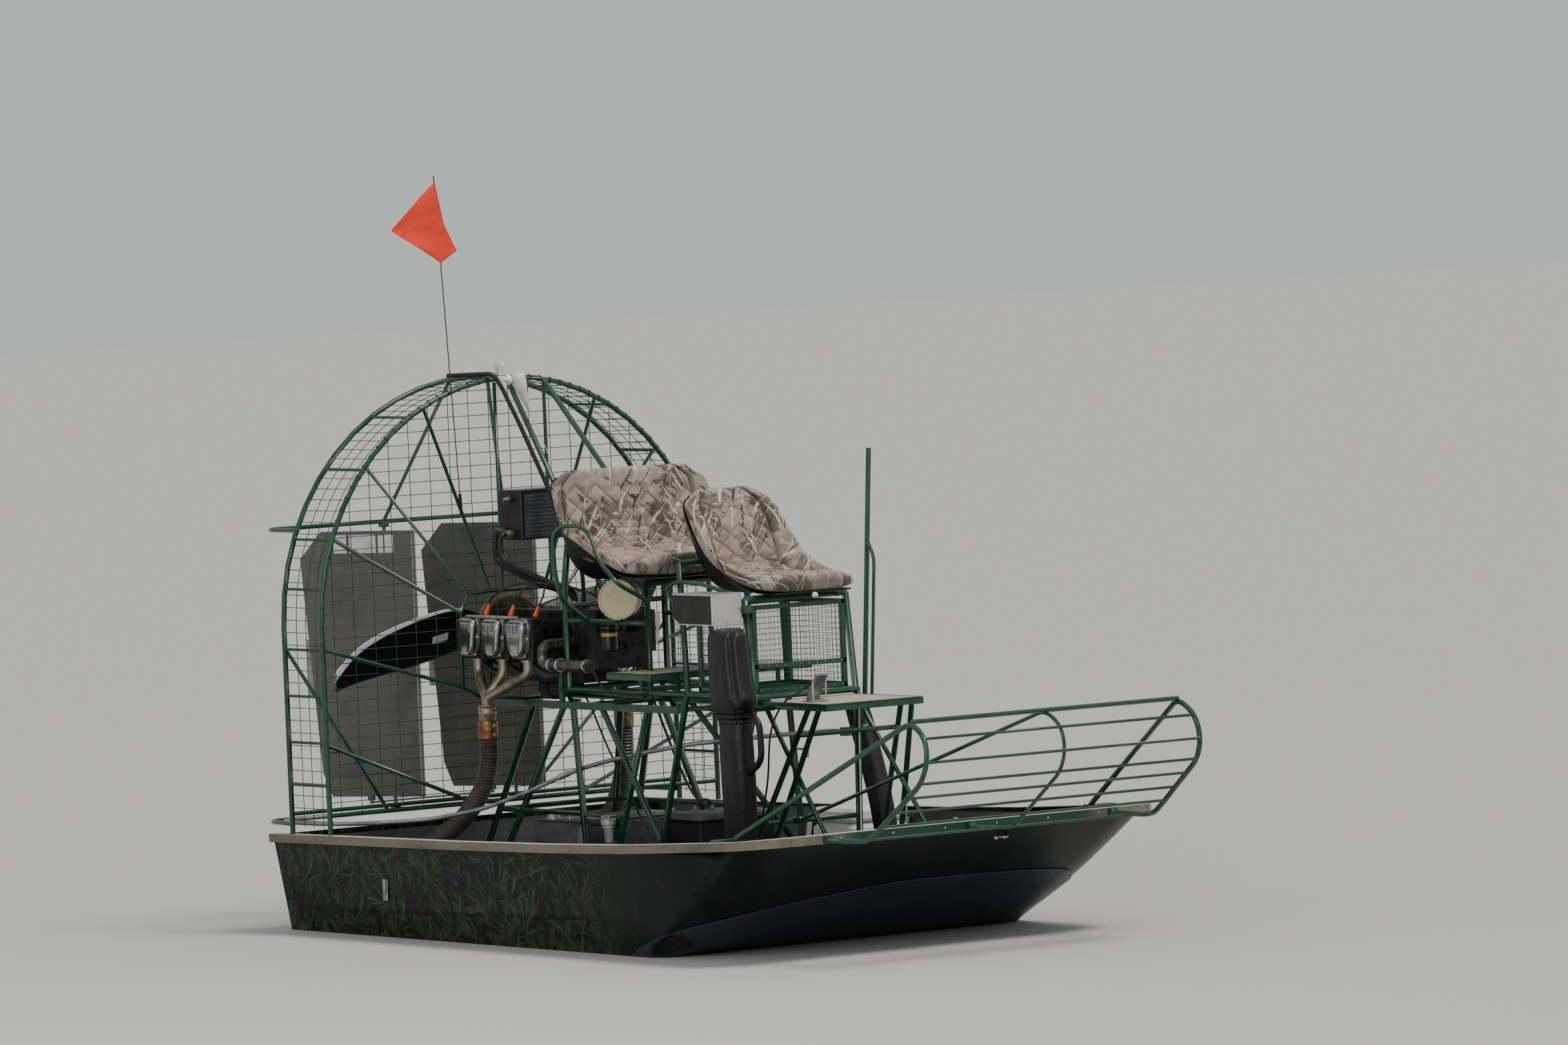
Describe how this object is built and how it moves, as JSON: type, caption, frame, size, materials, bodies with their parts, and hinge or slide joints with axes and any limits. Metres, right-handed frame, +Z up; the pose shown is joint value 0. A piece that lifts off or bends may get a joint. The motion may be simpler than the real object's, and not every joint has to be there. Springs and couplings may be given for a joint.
{
  "type": "airboat",
  "caption": "Open flat-bottomed airboat with a raised driver's seat, rear bench, caged air propeller, twin rudders and a bow grass rake",
  "frame": {"origin": "under the middle of the boat's overall length and beam, at the underside of its flat bottom", "axes": "+X to the bow, +Y to port, +Z up"},
  "size_m": [5.2199, 2.332, 3.5301],
  "materials": {
    "camouflage_wrap": "satin printed wrap",
    "green_enamel": "gloss",
    "hull_green": "gloss",
    "rail_cream": "painted, worn",
    "aluminium": "satin",
    "bright_plate": "brushed",
    "rudder_grey": "satin",
    "black_paint": "satin",
    "black_plastic": "matte",
    "cast_metal": "cast",
    "bright_cover": "polished",
    "exhaust_steel": "heat stained",
    "hose_rubber": "matte ribbed",
    "seat_fabric": "printed canvas",
    "orange_fabric": "woven",
    "white_plastic": "gloss",
    "cream_plastic": "satin"
  },
  "bodies": {
    "boat": {"hull_bottom": "hull_green", "hull_side_port": "camouflage_wrap", "hull_side_starboard": "camouflage_wrap", "hull_transom": "camouflage_wrap", "hull_bow": "hull_green", "gunwale_rail": "rail_cream", "floor_bearers": "aluminium", "fuel_tank": "aluminium", "battery_box": "black_plastic", "bow_locker": "white_plastic", "engine": "cast_metal", "valve_covers_port": "bright_cover", "valve_covers_starboard": "bright_cover", "exhaust_header_port": "exhaust_steel", "exhaust_header_starboard": "exhaust_steel", "exhaust_hose_port": "hose_rubber", "exhaust_hose_starboard": "hose_rubber", "intake_pipe": "aluminium", "cage_front": "green_enamel", "cage_rear": "green_enamel", "rudder_rail": "green_enamel", "stern_guard": "green_enamel", "rear_seat_cushion": "seat_fabric", "rear_seat_shell": "black_plastic", "front_seat_cushion": "seat_fabric", "front_seat_shell": "black_plastic", "engine_stand": "green_enamel", "seat_stand": "green_enamel", "passenger_step": "bright_plate", "driver_platform": "bright_plate", "platform_stand": "green_enamel", "accelerator_pedal": "aluminium", "basket": "green_enamel", "steering_cable": "aluminium", "gun_boot_starboard": "black_plastic", "gun_boot_port": "black_plastic", "instrument_box": "bright_plate", "canister": "cream_plastic", "oil_cooler": "black_paint", "oil_hoses": "black_plastic", "flag_staff": "black_plastic", "pennant": "orange_fabric", "anchor_light": "white_plastic", "antenna": "white_plastic", "wiring_sleeve": "black_plastic", "grass_rake": "green_enamel"},
    "propeller": {"propeller": "black_paint"},
    "rudder_starboard": {"rudder_starboard": "rudder_grey"},
    "rudder_port": {"rudder_port": "rudder_grey"},
    "tie_rod": {"tie_rod": "aluminium"},
    "control_stick": {"control_stick": "green_enamel"}
  },
  "joints": [
    {"name": "propeller_spin", "type": "hinge", "parent": "boat", "child": "propeller", "pos_m": [-1.7656, 0, 1.365], "axis": [1, 0, 0], "continuous": true},
    {"name": "rudder_starboard_hinge", "type": "hinge", "parent": "boat", "child": "rudder_starboard", "pos_m": [-2.1956, -0.35, 1.21], "axis": [0, 0, 1], "range_deg": [-62, 8]},
    {"name": "rudder_port_hinge", "type": "hinge", "parent": "boat", "child": "rudder_port", "pos_m": [-2.1956, 0.35, 1.21], "axis": [0, 0, 1], "range_deg": [-62, 8]},
    {"name": "tie_rod_pin", "type": "hinge", "parent": "rudder_starboard", "child": "tie_rod", "pos_m": [-2.31143, -0.40902, 0.548], "axis": [0, 0, 1], "range_deg": [-8, 62]},
    {"name": "stick_hinge", "type": "hinge", "parent": "boat", "child": "control_stick", "pos_m": [0.5944, 0.385, 0.93], "axis": [0, 1, 0], "range_deg": [-24.8, 3.2]}
  ],
  "couplings": [
    {"joint": "rudder_port_hinge", "follows": "rudder_starboard_hinge", "ratio": 1},
    {"joint": "tie_rod_pin", "follows": "rudder_starboard_hinge", "ratio": -1},
    {"joint": "stick_hinge", "follows": "rudder_starboard_hinge", "ratio": 0.4}
  ]
}
